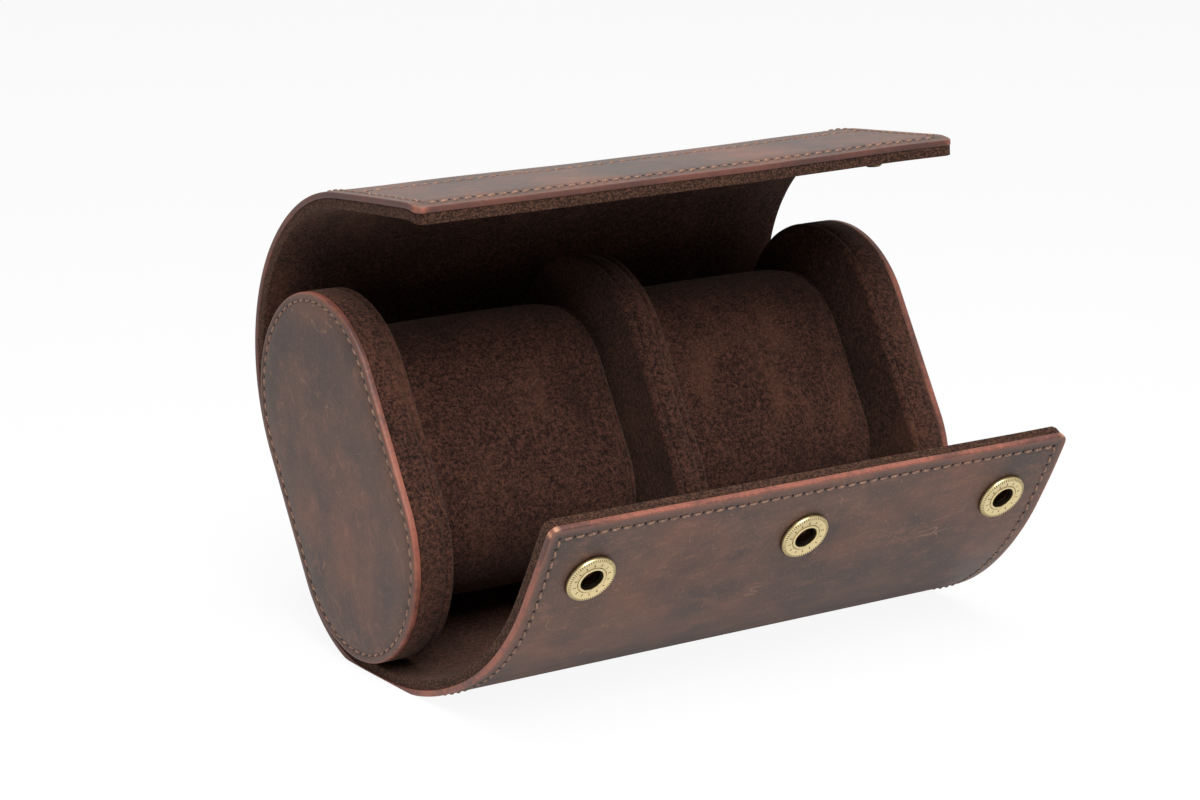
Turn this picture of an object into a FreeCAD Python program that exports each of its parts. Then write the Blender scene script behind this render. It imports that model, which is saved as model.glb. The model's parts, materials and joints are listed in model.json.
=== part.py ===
import FreeCAD
import Part
import math
import os

# A roll case with two bays: three oval walls stand in a curved leather wrap lined with suede,
# a soft pillow sits in each of the two bays, and the wrap's two flaps close over the front with
# three snap fasteners. The case stands open on a narrow flat under the wrap, leaning back.
#
# The case is drawn upright first: X runs along the case, Y from front to back through the
# walls, Z up the walls, with the middle of the case at the origin. It is then leaned back and
# set down with the middle of its base box at the origin. Millimetres and degrees throughout.

os.makedirs("parts", exist_ok=True)
Vector = FreeCAD.Vector

# Whole object
CASE_LENGTH = 158.0
LEAN = 31.6
BASE_FLAT_DEPTH = 1.2

# Oval walls
WALL_DEPTH = 57.5
WALL_HEIGHT = 91.0
END_WALL_THICKNESS = 11.0
DIVIDER_THICKNESS = 9.0
SUEDE = 1.2
END_EDGE_ROUND = 0.6

# Wrap, measured along its outer face from the middle of the back
LEATHER = 2.0
LINING = 2.0
TOP_RADIUS = 47.0
TOP_TURN = 115.5
TOP_STRAIGHT = 39.0
FOOT_TURN = 58.4
FOOT_STRAIGHT = 10.0
FRONT_RADIUS = 66.0
FRONT_TURN = 63.0
FRONT_STRAIGHT = 22.0
FRONT_TAPER = 3.6
TAPER_PAST_EDGE = 1.1
CORNER_ROUND = 2.5

# Creases: place along the wrap past the straight back, how far each bends to close and to open
TOP_CREASES = ((23.6, 22.552, 25.0), (63.5, 12.2, 13.55), (103.4, 26.848, 20.0))
FRONT_CREASES = ((45.5, 29.5, 0.0), (75.5, 32.0, 35.0))
CREASE_GAP = 0.3
CREASE_SPARE = 0.8
CREASE_CUT_INSIDE = 1.5
CREASE_CUT_OUTSIDE = 1.0

# Pillows
PILLOW_DEPTH = 44.0
PILLOW_HEIGHT = 70.0
PILLOW_CENTRE = (3.5, 1.8)
PILLOW_SIDE_GAP = 0.4
PILLOW_COVER = 1.5
# How far the section is drawn in, at each distance from a pillow's end
PILLOW_CROWN = ((0.0, 6.0), (2.5, 3.0), (8.0, 1.0))

# Snap fasteners
SNAP_SPACING = 59.0
SOCKET_FROM_EDGE = 16.5
STUD_FROM_EDGE = 9.894
SOCKET_RADIUS = 6.25
SOCKET_HOLE_RADIUS = 2.3
SOCKET_HEIGHT = 2.0
SOCKET_WALL = 1.5
SOCKET_ROOF = 1.0
SOCKET_DISH = 0.7
SPRING_WIRE = 0.6
SPRING_OFFSET = 2.65
SPRING_LIFT = 0.1
SPRING_END_ROOM = 0.3
POST_FLANGE_RADIUS = 5.0
POST_FLANGE = 0.6
POST_RADIUS = 2.8
STUD_BASE_RADIUS = 5.0
STUD_BASE = 0.7
STUD_SUNK = 0.6
STUD_HEAD_RADIUS = 2.1
STUD_NECK_RADIUS = 1.7
STUD_REACH = 1.95
STUD_POST_RADIUS = 1.6
STRIP_WIDTH = 24.0
STRIP_THICKNESS = 0.8
STRIP_SIDE_MARGIN = 6.0
STRIP_FROM_EDGE = 4.0

# Distances within which a point or an edge counts as being at a place
TOUCHING = 0.01
NEAR = 0.5

WRAP_THICKNESS = LEATHER + LINING
WALL_RADIUS = WALL_DEPTH / 2
WALL_STRAIGHT = WALL_HEIGHT / 2 - WALL_RADIUS
BACK = WALL_RADIUS + WRAP_THICKNESS
WRAP_LENGTH = CASE_LENGTH - 2 * LEATHER
BAY_WIDTH = (CASE_LENGTH - 2 * END_WALL_THICKNESS - DIVIDER_THICKNESS) / 2
SOCKET_CAVE_RADIUS = SOCKET_RADIUS - SOCKET_WALL
SNAP_PLACES = (-SNAP_SPACING, 0.0, SNAP_SPACING)


class Branch:
    """Half of the wrap, followed along its outer face from the middle of the back."""

    def __init__(self, heading, side, runs):
        self.heading = heading
        self.side = side
        self.runs = runs
        self.length = sum(self.run_length(run) for run in runs)

    @staticmethod
    def run_length(run):
        radius, amount = run
        return amount if radius is None else radius * math.radians(amount)

    def frame(self, distance):
        """Outer point, direction of travel and inward direction at a distance."""
        y, z, heading = BACK, 0.0, math.radians(self.heading)
        left = distance
        for run in self.runs:
            radius = run[0]
            step = min(left, self.run_length(run))
            if radius is None:
                y += step * math.cos(heading)
                z += step * math.sin(heading)
            else:
                turn = self.side * step / radius
                chord = 2 * radius * math.sin(step / radius / 2)
                y += chord * math.cos(heading + turn / 2)
                z += chord * math.sin(heading + turn / 2)
                heading += turn
            left -= step
            if left <= 0:
                break
        along = Vector(0, math.cos(heading), math.sin(heading))
        inward = Vector(0, -self.side * math.sin(heading), self.side * math.cos(heading))
        return Vector(0, y, z), along, inward

    def point(self, distance, depth):
        frame = self.frame(distance)
        return frame[0] + frame[2] * depth

    def edges(self, depth):
        """Lines and arcs of the wrap's section at a depth under the outer face."""
        result = []
        start = 0.0
        for run in self.runs:
            end = start + self.run_length(run)
            first, last = self.point(start, depth), self.point(end, depth)
            if run[0] is None:
                result.append(Part.LineSegment(first, last).toShape())
            else:
                middle = self.point((start + end) / 2, depth)
                result.append(Part.Arc(first, middle, last).toShape())
            start = end
        return result


TOP = Branch(90.0, 1, (
    (None, WALL_STRAIGHT),
    (TOP_RADIUS, TOP_TURN),
    (None, TOP_STRAIGHT),
))
FRONT = Branch(270.0, -1, (
    (None, WALL_STRAIGHT),
    (BACK, FOOT_TURN),
    (None, FOOT_STRAIGHT),
    (FRONT_RADIUS, FRONT_TURN),
    (None, FRONT_STRAIGHT),
))


def prism(points, length):
    """A polygon in the YZ plane, extruded evenly to both sides of X = 0."""
    face = Part.Face(Part.makePolygon(list(points) + [points[0]]))
    solid = face.extrude(Vector(length, 0, 0))
    solid.translate(Vector(-length / 2, 0, 0))
    return solid


def oval(x, depth, height, centre=(0.0, 0.0)):
    """An oval outline of two lines and four quarter arcs, standing at X = x."""
    radius = depth / 2
    straight = height / 2 - radius
    slant = radius * math.sqrt(0.5)

    def at(y, z):
        return Vector(x, centre[0] + y, centre[1] + z)

    def quarter(y_sign, z_sign):
        side = at(y_sign * radius, z_sign * straight)
        middle = at(y_sign * slant, z_sign * (straight + slant))
        end = at(0, z_sign * (straight + radius))
        return Part.Arc(side, middle, end).toShape()

    edges = [quarter(y_sign, z_sign) for y_sign in (-1, 1) for z_sign in (-1, 1)]
    for y_sign in (-1, 1):
        low, high = at(y_sign * radius, -straight), at(y_sign * radius, straight)
        edges.append(Part.LineSegment(low, high).toShape())
    return Part.Wire(Part.__sortEdges__(edges))


def oval_plate(x_low, x_high, inset):
    """A plate with the walls' outline, drawn in by an inset."""
    wire = oval(x_low, WALL_DEPTH - 2 * inset, WALL_HEIGHT - 2 * inset)
    return Part.Face(wire).extrude(Vector(x_high - x_low, 0, 0))


def wrap_layer(depth_low, depth_high):
    """One layer of the whole wrap in a single piece, before it is creased."""
    edges = []
    for branch in (TOP, FRONT):
        edges += branch.edges(depth_low)
        edges += branch.edges(depth_high)
        tip_low = branch.point(branch.length, depth_low)
        tip_high = branch.point(branch.length, depth_high)
        edges.append(Part.LineSegment(tip_low, tip_high).toShape())
    section = Part.Face(Part.Wire(Part.__sortEdges__(edges)))
    solid = section.extrude(Vector(WRAP_LENGTH, 0, 0))
    solid.translate(Vector(-WRAP_LENGTH / 2, 0, 0))
    return solid


def crease_place(crease):
    return WALL_STRAIGHT + crease[0]


def crease_cutter(branch, crease):
    """The notch that leaves room for a crease to bend either way about its axis."""
    close_angle, open_angle = crease[1:]
    axis = branch.point(crease_place(crease), LEATHER)
    along, inward = branch.frame(crease_place(crease))[1:]
    half_gap = CREASE_GAP / 2
    reach_in = LINING + CREASE_CUT_INSIDE
    reach_out = LEATHER + CREASE_CUT_OUTSIDE
    wide_in = half_gap + reach_in * math.tan(math.radians(close_angle / 2 + CREASE_SPARE))
    wide_out = half_gap + reach_out * math.tan(math.radians(open_angle / 2 + CREASE_SPARE))
    points = (
        axis + inward * reach_in + along * wide_in,
        axis + along * half_gap,
        axis - inward * reach_out + along * wide_out,
        axis - inward * reach_out - along * wide_out,
        axis - along * half_gap,
        axis + inward * reach_in - along * wide_in,
    )
    return prism(points, CASE_LENGTH)


def crease_spans(branch, creases):
    """Middle distance of each piece of a branch beyond its first crease."""
    places = [crease_place(crease) for crease in creases] + [branch.length]
    return [(low + high) / 2 for low, high in zip(places, places[1:])]


def creased(layer, depth):
    """The layer cut at every crease, as a dictionary of its pieces."""
    cutters = [crease_cutter(TOP, crease) for crease in TOP_CREASES]
    cutters += [crease_cutter(FRONT, crease) for crease in FRONT_CREASES]
    solids = layer.cut(cutters).Solids
    probes = {"spine": TOP.point(0, depth)}
    top_names = ("rear_crown", "front_crown", "top_flap")
    for name, distance in zip(top_names, crease_spans(TOP, TOP_CREASES)):
        probes[name] = TOP.point(distance, depth)
    for name, distance in zip(("front_bend", "front_flap"), crease_spans(FRONT, FRONT_CREASES)):
        probes[name] = FRONT.point(distance, depth)
    return {
        name: next(solid for solid in solids if solid.isInside(probe, TOUCHING, True))
        for name, probe in probes.items()
    }


def taper_cutters():
    """Two wedges that narrow the front flap evenly from the foot to its free edge."""
    cutters = []
    start = WALL_STRAIGHT + BACK * math.radians(FOOT_TURN)
    low = FRONT.point(start, 0)
    tip = FRONT.point(FRONT.length, 0)
    reach = (low.y - tip.y) * TAPER_PAST_EDGE
    far_taper = FRONT_TAPER * TAPER_PAST_EDGE
    for side in (-1, 1):
        edge = side * WRAP_LENGTH / 2
        outline = Part.makePolygon([
            Vector(edge, low.y, -WALL_HEIGHT),
            Vector(edge - side * far_taper, low.y - reach, -WALL_HEIGHT),
            Vector(edge + side * far_taper, low.y - reach, -WALL_HEIGHT),
            Vector(edge + side * far_taper, low.y, -WALL_HEIGHT),
            Vector(edge, low.y, -WALL_HEIGHT),
        ])
        cutters.append(Part.Face(outline).extrude(Vector(0, 0, WALL_HEIGHT)))
    return cutters


def round_corners(solid, branch):
    """Round the two corners of a flap's free edge."""
    tip = branch.point(branch.length, 0)
    reach = WRAP_THICKNESS + NEAR
    corners = []
    for edge in solid.Edges:
        ends = [vertex.Point for vertex in edge.Vertexes]
        if len(ends) != 2:
            continue
        at_tip = all(math.hypot(end.y - tip.y, end.z - tip.z) < reach for end in ends)
        through = abs(ends[0].x - ends[1].x) < NEAR and (ends[0] - ends[1]).Length > NEAR
        if at_tip and through:
            corners.append(edge)
    return solid.makeFillet(CORNER_ROUND, corners)


def on_wrap(shape, branch, from_edge, depth, x, outward):
    """Stand a shape made along +Z on the wrap, its +Z pointing out of or into the case."""
    distance = branch.length - from_edge
    along, inward = branch.frame(distance)[1:]
    up = inward * (-1 if outward else 1)
    turned = shape.copy()
    turned.Placement = FreeCAD.Placement(
        branch.point(distance, depth) + Vector(x, 0, 0),
        FreeCAD.Rotation(Vector(1, 0, 0), up.cross(Vector(1, 0, 0)), up, "ZXY"),
    )
    return turned


def turned_piece(points):
    """A solid of revolution about Z from (radius, height) points."""
    outline = [Vector(radius, 0, height) for radius, height in points]
    face = Part.Face(Part.makePolygon(outline + [outline[0]]))
    return face.revolve(Vector(0, 0, 0), Vector(0, 0, 1), 360)


def socket():
    """Snap socket: a rolled outer rim, a dished face, a raised lip and a hollow for the spring."""
    rim, hole, top = SOCKET_RADIUS, SOCKET_HOLE_RADIUS, SOCKET_HEIGHT
    return turned_piece((
        (SOCKET_CAVE_RADIUS, 0.0),
        (rim - 0.2, 0.0),
        (rim, 0.3),
        (rim, top - 0.8),
        (rim - 0.3, top - 0.35),
        (rim - 0.8, top - 0.2),
        (rim - 1.2, top - 0.35),
        (rim - 1.6, top - SOCKET_DISH),
        (hole + 1.0, top - SOCKET_DISH),
        (hole + 0.7, top - 0.1),
        (hole + 0.4, top),
        (hole, top - 0.2),
        (hole, top - SOCKET_ROOF),
        (SOCKET_CAVE_RADIUS, top - SOCKET_ROOF),
    ))


def socket_spring():
    """The two spring wires that grip a stud, one each side of the hole."""
    outside = SPRING_OFFSET + SPRING_WIRE / 2
    reach = math.sqrt((SOCKET_CAVE_RADIUS - SPRING_END_ROOM) ** 2 - outside ** 2)
    wires = []
    for side in (-1, 1):
        foot = Vector(-reach, side * SPRING_OFFSET, SPRING_WIRE / 2 + SPRING_LIFT)
        wires.append(Part.makeCylinder(SPRING_WIRE / 2, 2 * reach, foot, Vector(1, 0, 0)))
    return wires


def socket_post():
    """The rivet under a socket: a flange in the lining and a hollow barrel in the leather."""
    bore = SOCKET_HOLE_RADIUS
    return turned_piece((
        (bore, -LEATHER - POST_FLANGE),
        (POST_FLANGE_RADIUS, -LEATHER - POST_FLANGE),
        (POST_FLANGE_RADIUS, -LEATHER),
        (POST_RADIUS, -LEATHER),
        (POST_RADIUS, 0.0),
        (bore, 0.0),
    ))


def stud():
    """Snap stud: a base sunk in the lining, a necked head, and a post through the strip."""
    post_end = STUD_SUNK - LINING
    tip = STUD_BASE + STUD_REACH
    return turned_piece((
        (0.0, post_end),
        (STUD_POST_RADIUS, post_end),
        (STUD_POST_RADIUS, 0.0),
        (STUD_BASE_RADIUS, 0.0),
        (STUD_BASE_RADIUS, STUD_BASE - 0.3),
        (STUD_BASE_RADIUS - 0.4, STUD_BASE),
        (STUD_NECK_RADIUS + 0.4, STUD_BASE),
        (STUD_NECK_RADIUS, STUD_BASE + 0.4),
        (STUD_NECK_RADIUS, tip - 1.3),
        (STUD_HEAD_RADIUS, tip - 0.8),
        (STUD_HEAD_RADIUS, tip - 0.4),
        (STUD_HEAD_RADIUS - 0.5, tip),
        (0.0, tip),
    ))


def make_wrap():
    """Leather and lining in six pieces each, with the front flap narrowed and corners rounded."""
    nodes = {}
    layers = (("leather", 0.0, LEATHER), ("lining", LEATHER, WRAP_THICKNESS))
    wedges = taper_cutters()
    for layer_name, low, high in layers:
        pieces = creased(wrap_layer(low, high), (low + high) / 2)
        for name in ("spine", "front_bend", "front_flap"):
            pieces[name] = pieces[name].cut(wedges)
        pieces["top_flap"] = round_corners(pieces["top_flap"], TOP)
        pieces["front_flap"] = round_corners(pieces["front_flap"], FRONT)
        for name, solid in pieces.items():
            nodes[name + "_" + layer_name] = solid
    return nodes


def make_walls():
    """Two leather-faced end walls and the divider, each a board wrapped in suede."""
    nodes = {}
    end = CASE_LENGTH / 2
    for name, side in (("left", -1), ("right", 1)):

        def span(outer, inner):
            low, high = sorted((side * (end - outer), side * (end - inner)))
            return low, high

        core_end = END_WALL_THICKNESS - SUEDE
        face = oval_plate(*span(0.0, LEATHER), 0.0)
        rim = [edge for edge in face.Edges if abs(edge.CenterOfMass.x - side * end) < TOUCHING]
        nodes[name + "_end_leather"] = face.makeFillet(END_EDGE_ROUND, rim)
        nodes[name + "_end_board"] = oval_plate(*span(LEATHER, core_end), SUEDE)
        ring = oval_plate(*span(LEATHER, END_WALL_THICKNESS), 0.0)
        nodes[name + "_end_band"] = ring.cut(oval_plate(*span(LEATHER, END_WALL_THICKNESS), SUEDE))
        nodes[name + "_end_facing"] = oval_plate(*span(core_end, END_WALL_THICKNESS), SUEDE)
    half = DIVIDER_THICKNESS / 2
    nodes["divider_board"] = oval_plate(SUEDE - half, half - SUEDE, SUEDE)
    nodes["divider_band"] = oval_plate(-half, half, 0.0).cut(oval_plate(-half, half, SUEDE))
    nodes["divider_left_facing"] = oval_plate(-half, SUEDE - half, SUEDE)
    nodes["divider_right_facing"] = oval_plate(half - SUEDE, half, SUEDE)
    return nodes


def pillow_form(x_low, x_high, inset):
    """A crowned oval cushion, drawn in towards both ends."""
    stations = [(x_low + distance, draw) for distance, draw in PILLOW_CROWN]
    stations.append(((x_low + x_high) / 2, 0.0))
    stations += [(x_high - distance, draw) for distance, draw in reversed(PILLOW_CROWN)]
    sections = []
    for x, draw in stations:
        shrink = 2 * (draw + inset)
        sections.append(oval(x, PILLOW_DEPTH - shrink, PILLOW_HEIGHT - shrink, PILLOW_CENTRE))
    return Part.makeLoft(sections, True, False)


def make_pillows():
    """Each pillow is a foam core in a suede sleeve, closed by a suede panel at each end."""
    nodes = {}
    room = BAY_WIDTH - 2 * PILLOW_SIDE_GAP
    for name, side in (("left", -1), ("right", 1)):
        middle = side * (DIVIDER_THICKNESS + BAY_WIDTH) / 2
        low, high = middle - room / 2, middle + room / 2
        filling = pillow_form(low, high, PILLOW_COVER)

        def slab(x_low, x_high):
            tall = 2 * WALL_HEIGHT
            corner = Vector(x_low, -tall / 2, -tall / 2)
            return Part.makeBox(x_high - x_low, tall, tall, corner)

        nodes[name + "_pillow_sleeve"] = pillow_form(low, high, 0.0).cut(filling)
        nodes[name + "_pillow_foam"] = filling.common(slab(low + PILLOW_COVER, high - PILLOW_COVER))
        ends = [slab(low, low + PILLOW_COVER), slab(high - PILLOW_COVER, high)]
        nodes[name + "_pillow_ends"] = Part.makeCompound([
            solid for end in ends for solid in filling.common(end).Solids
        ])
    return nodes


def make_snaps(wrap):
    """Three sockets on the front flap and three studs inside the top flap, with their holes."""

    def row(piece, branch, from_edge, depth, outward):
        return [on_wrap(piece, branch, from_edge, depth, x, outward) for x in SNAP_PLACES]

    nodes = {}
    posts = row(socket_post(), FRONT, SOCKET_FROM_EDGE, 0.0, True)
    bores = row(
        Part.makeCylinder(SOCKET_HOLE_RADIUS, WRAP_THICKNESS, Vector(0, 0, -LEATHER - POST_FLANGE)),
        FRONT, SOCKET_FROM_EDGE, 0.0, True,
    )
    nodes["snap_sockets"] = Part.makeCompound(row(socket(), FRONT, SOCKET_FROM_EDGE, 0.0, True))
    nodes["socket_springs"] = Part.makeCompound([
        solid
        for wire in socket_spring()
        for solid in row(wire, FRONT, SOCKET_FROM_EDGE, 0.0, True)
    ])
    nodes["socket_posts"] = Part.makeCompound(posts)
    wrap["front_flap_leather"] = wrap["front_flap_leather"].cut(posts + bores)
    wrap["front_flap_lining"] = wrap["front_flap_lining"].cut(posts + bores)

    studs = row(stud(), TOP, STUD_FROM_EDGE, WRAP_THICKNESS - STUD_SUNK, False)
    strip_length = WRAP_LENGTH - 2 * STRIP_SIDE_MARGIN
    strip = on_wrap(
        Part.makeBox(
            strip_length, STRIP_WIDTH, STRIP_THICKNESS,
            Vector(-strip_length / 2, -STRIP_WIDTH / 2, 0),
        ),
        TOP, STRIP_WIDTH / 2 + STRIP_FROM_EDGE, LEATHER, 0.0, False,
    )
    nodes["snap_studs"] = Part.makeCompound(studs)
    nodes["stud_strip"] = strip.cut(studs)
    wrap["top_flap_lining"] = wrap["top_flap_lining"].cut([strip] + studs)
    return nodes


def leaned(shape):
    turned = shape.copy()
    turned.rotate(Vector(0, 0, 0), Vector(1, 0, 0), -LEAN)
    return turned


def base_offset(wrap):
    """How far the leaned case moves so that its base box's middle is at the origin."""
    box = Part.makeCompound([leaned(solid) for solid in wrap.values()]).optimalBoundingBox(False)
    return Vector(0, -(box.YMin + box.YMax) / 2, -box.ZMin - BASE_FLAT_DEPTH)


def make_case():
    wrap = make_wrap()
    snaps = make_snaps(wrap)
    offset = base_offset(wrap)
    nodes = {}
    for group in (wrap, make_walls(), make_pillows(), snaps):
        for name, shape in group.items():
            placed = leaned(shape)
            placed.translate(offset)
            nodes[name] = placed
    floor = Part.makeBox(2 * CASE_LENGTH, 4 * WALL_HEIGHT, WALL_HEIGHT)
    floor.translate(Vector(-CASE_LENGTH, -2 * WALL_HEIGHT, -WALL_HEIGHT))
    for name in ("spine_leather", "front_bend_leather"):
        nodes[name] = nodes[name].cut(floor)
    return nodes, offset


def placed_point(point, offset):
    turned = FreeCAD.Rotation(Vector(1, 0, 0), -LEAN).multVec(point)
    return turned + offset


NODES, OFFSET = make_case()
CREASE_AXES = {
    name: placed_point(branch.point(crease_place(crease), LEATHER), OFFSET)
    for name, branch, crease in (
        ("rear_crown", TOP, TOP_CREASES[0]),
        ("front_crown", TOP, TOP_CREASES[1]),
        ("top_flap", TOP, TOP_CREASES[2]),
        ("front_bend", FRONT, FRONT_CREASES[0]),
        ("front_flap", FRONT, FRONT_CREASES[1]),
    )
}

if __name__ == "__main__":
    for name, shape in NODES.items():
        shape.exportStep("parts/" + name + ".step")
        count = len(shape.Solids)
        print(f"{name}: {count} solid, valid {shape.isValid()}, {shape.Volume / 1000:.2f} cm3")
    for name, axis in CREASE_AXES.items():
        print(f"{name} crease axis at y {axis.y:.3f}, z {axis.z:.3f}")
    whole = Part.makeCompound(list(NODES.values())).optimalBoundingBox(False)
    print(f"size {whole.XLength:.2f} x {whole.YLength:.2f} x {whole.ZLength:.2f}")
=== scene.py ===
# %% [markdown]
# # A two-bay roll case in leather and suede
#
# The real object is one long piece of waxed leather, lined with suede and curled round three oval walls.
# CAD has made every piece at its size and place. This lesson gives each one the surface that a hand would
# feel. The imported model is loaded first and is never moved: all that we add goes where it says.

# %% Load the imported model
import json
import math
import random

import bmesh
import bpy
import numpy as np
from mathutils import Matrix, Quaternion, Vector

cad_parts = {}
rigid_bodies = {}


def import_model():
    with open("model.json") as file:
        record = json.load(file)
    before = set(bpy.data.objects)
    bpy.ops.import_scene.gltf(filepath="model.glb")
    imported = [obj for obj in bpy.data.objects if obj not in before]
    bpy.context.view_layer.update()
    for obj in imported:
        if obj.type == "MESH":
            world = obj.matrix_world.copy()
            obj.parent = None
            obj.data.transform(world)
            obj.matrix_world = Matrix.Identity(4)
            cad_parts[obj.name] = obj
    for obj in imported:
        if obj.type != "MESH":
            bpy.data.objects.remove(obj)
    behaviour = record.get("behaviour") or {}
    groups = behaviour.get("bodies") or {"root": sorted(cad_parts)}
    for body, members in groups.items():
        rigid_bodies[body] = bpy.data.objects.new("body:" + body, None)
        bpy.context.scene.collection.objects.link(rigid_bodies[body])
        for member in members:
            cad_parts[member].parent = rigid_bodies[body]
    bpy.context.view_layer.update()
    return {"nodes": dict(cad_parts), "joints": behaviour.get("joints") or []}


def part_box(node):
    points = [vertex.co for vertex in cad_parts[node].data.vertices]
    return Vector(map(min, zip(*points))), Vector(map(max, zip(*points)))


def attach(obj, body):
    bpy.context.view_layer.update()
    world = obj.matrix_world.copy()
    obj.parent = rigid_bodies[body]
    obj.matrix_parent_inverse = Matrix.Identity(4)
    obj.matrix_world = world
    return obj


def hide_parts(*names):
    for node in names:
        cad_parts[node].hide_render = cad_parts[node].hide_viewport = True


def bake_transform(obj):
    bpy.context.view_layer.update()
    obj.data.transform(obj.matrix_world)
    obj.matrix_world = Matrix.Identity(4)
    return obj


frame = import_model()
MM = 0.001

# %% [markdown]
# ## An upright workbench
#
# The case leans back on its curved foot, which makes every height and depth awkward to think about. So the
# pieces are modelled upright and in millimetres, with the middle of the oval walls at the origin: X runs
# along the case, Y towards its back, Z up. One matrix then leans a finished piece into the frame.
# The lean is read from the line along which the pillows slide out.

# %% The matrix from the bench to the frame
JOINTS = {joint["name"]: joint for joint in frame["joints"]}
slide = JOINTS["left_pillow_slide"]["axis"]
LEAN = math.atan2(slide[2], -slide[1])
board_low, board_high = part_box("divider_board")
MIDDLE = (board_low + board_high) / 2
TO_FRAME = Matrix.Translation(MIDDLE) @ Matrix.Rotation(-LEAN, 4, "X") @ Matrix.Scale(MM, 4)
TO_BENCH = TO_FRAME.inverted()
print("lean in degrees:", round(math.degrees(LEAN), 2))

# %% [markdown]
# ## Camera
#
# The camera stands to the left of the case, a little above it and about 0.8 m away, with a long lens. Its
# place and turn were fitted to the oval ends, the snaps and the edges of the flaps.

# %% Camera
CAMERA_FROM_MIDDLE = Vector((-0.4347, -0.6554, 0.2179))
CAMERA_AZIMUTH = math.radians(-33.34)
CAMERA_ELEVATION = math.radians(14.96)
CAMERA_ROLL = math.radians(0.22)
LENS = 97.7
SENSOR_WIDTH = 36.0
NEAREST = 0.01

camera_data = bpy.data.cameras.new("camera")
camera_data.lens = LENS
camera_data.sensor_width = SENSOR_WIDTH
camera_data.clip_start = NEAREST
camera = bpy.data.objects.new("camera", camera_data)
bpy.context.scene.collection.objects.link(camera)
flat_reach = math.cos(CAMERA_ELEVATION)
backwards = Vector((
    math.sin(CAMERA_AZIMUTH) * flat_reach,
    -math.cos(CAMERA_AZIMUTH) * flat_reach,
    math.sin(CAMERA_ELEVATION),
))
camera.location = MIDDLE + CAMERA_FROM_MIDDLE
camera.rotation_mode = "QUATERNION"
camera.rotation_quaternion = (-backwards).to_track_quat("-Z", "Y") @ Quaternion((0, 0, 1), CAMERA_ROLL)
bpy.context.scene.camera = camera
print("camera to case in m:", round(CAMERA_FROM_MIDDLE.length, 3))

# %% [markdown]
# ## Shader maths in plain Python
#
# A finish is a small sum: so much cloud, less in the groove, lighter at the edge. One class wraps a socket so
# that such a sum can be written down as it is said, and one method adds any other node.

# %% Sums of sockets
class Value:
    """A socket that can be added, taken away and multiplied."""

    def __init__(self, nodes, socket):
        self.nodes = nodes
        self.socket = socket

    def work(self, operation, first, second):
        return self.nodes.add("ShaderNodeMath", {"operation": operation}, {0: first, 1: second})

    def __add__(self, other):
        return self.work("ADD", self, other)

    def __radd__(self, other):
        return self.work("ADD", other, self)

    def __sub__(self, other):
        return self.work("SUBTRACT", self, other)

    def __rsub__(self, other):
        return self.work("SUBTRACT", other, self)

    def __mul__(self, other):
        return self.work("MULTIPLY", self, other)

    def __rmul__(self, other):
        return self.work("MULTIPLY", other, self)

    def __abs__(self):
        return self.work("ABSOLUTE", self, 0.0)


# %% Node trees
class Nodes:
    """A node tree that is filled from Python."""

    def __init__(self, tree):
        self.tree = tree
        self.tree.nodes.clear()

    def add(self, kind, settings=None, inputs=None, output=0):
        node = self.tree.nodes.new(kind)
        for name, setting in (settings or {}).items():
            setattr(node, name, setting)
        for key, given in (inputs or {}).items():
            if isinstance(given, Value):
                self.tree.links.new(given.socket, node.inputs[key])
            else:
                node.inputs[key].default_value = given
        return Value(self, node.outputs[output]) if node.outputs else None

    def attribute(self, name, output):
        return self.add("ShaderNodeAttribute", {"attribute_name": name}, output=output)

    def node_place(self):
        """The spot on a CAD node in millimetres."""
        place = self.add("ShaderNodeTexCoord", output="Object")
        return self.stretch(place, (1 / MM, 1 / MM, 1 / MM))

    def noise(self, place, scale, detail=3.0, roughness=0.5):
        inputs = {"Vector": place, "Scale": scale, "Detail": detail, "Roughness": roughness}
        return self.add("ShaderNodeTexNoise", inputs=inputs)

    def stretch(self, place, factors):
        return self.add("ShaderNodeVectorMath", {"operation": "MULTIPLY"}, {0: place, 1: factors})

    def shift(self, place, step):
        return self.add("ShaderNodeVectorMath", {"operation": "ADD"}, {0: place, 1: step})

    def fade(self, value, low, high):
        """0 below low, 1 above high and smooth between."""
        inputs = {"Value": value, "From Min": low, "From Max": high}
        return self.add("ShaderNodeMapRange", {"interpolation_type": "SMOOTHSTEP"}, inputs)

    def mix(self, first, second, amount):
        return self.add("ShaderNodeMix", {"data_type": "RGBA"}, {0: amount, 6: first, 7: second}, 2)

    def coats(self, colour, *coats):
        """Coats of colour one over another, each with how much of it shows."""
        for shade, amount in coats:
            colour = self.mix(colour, shade, amount)
        return colour

    def bump(self, height, strength, distance):
        inputs = {"Height": height, "Strength": strength, "Distance": distance}
        return self.add("ShaderNodeBump", inputs=inputs)

    def surface(self, **inputs):
        """A Principled shader on the material's output. Underscores stand for spaces in socket names."""
        named = {name.replace("_", " "): given for name, given in inputs.items()}
        shader = self.add("ShaderNodeBsdfPrincipled", inputs=named)
        self.add("ShaderNodeOutputMaterial", inputs={"Surface": shader})


# %% Materials and colours
def new_finish(name):
    material = bpy.data.materials.new(name)
    material.use_nodes = True
    print("finish:", name)
    return material, Nodes(material.node_tree)


def paint(red, green, blue):
    """A colour as a painter reads it off a screen, 0 to 255, turned into light."""
    def light(level):
        level /= 255
        return level / 12.92 if level <= 0.04045 else ((level + 0.055) / 1.055) ** 2.4
    return (light(red), light(green), light(blue), 1.0)


# %% [markdown]
# ## Studio
#
# A pale table, a large soft lamp overhead and a smaller one high in front. They light the rims and the
# pillows and leave the hollow under the top flap dark. The background is white to the eye and in
# reflections, and weaker as a light, and the table keeps the soft shadow.

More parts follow.
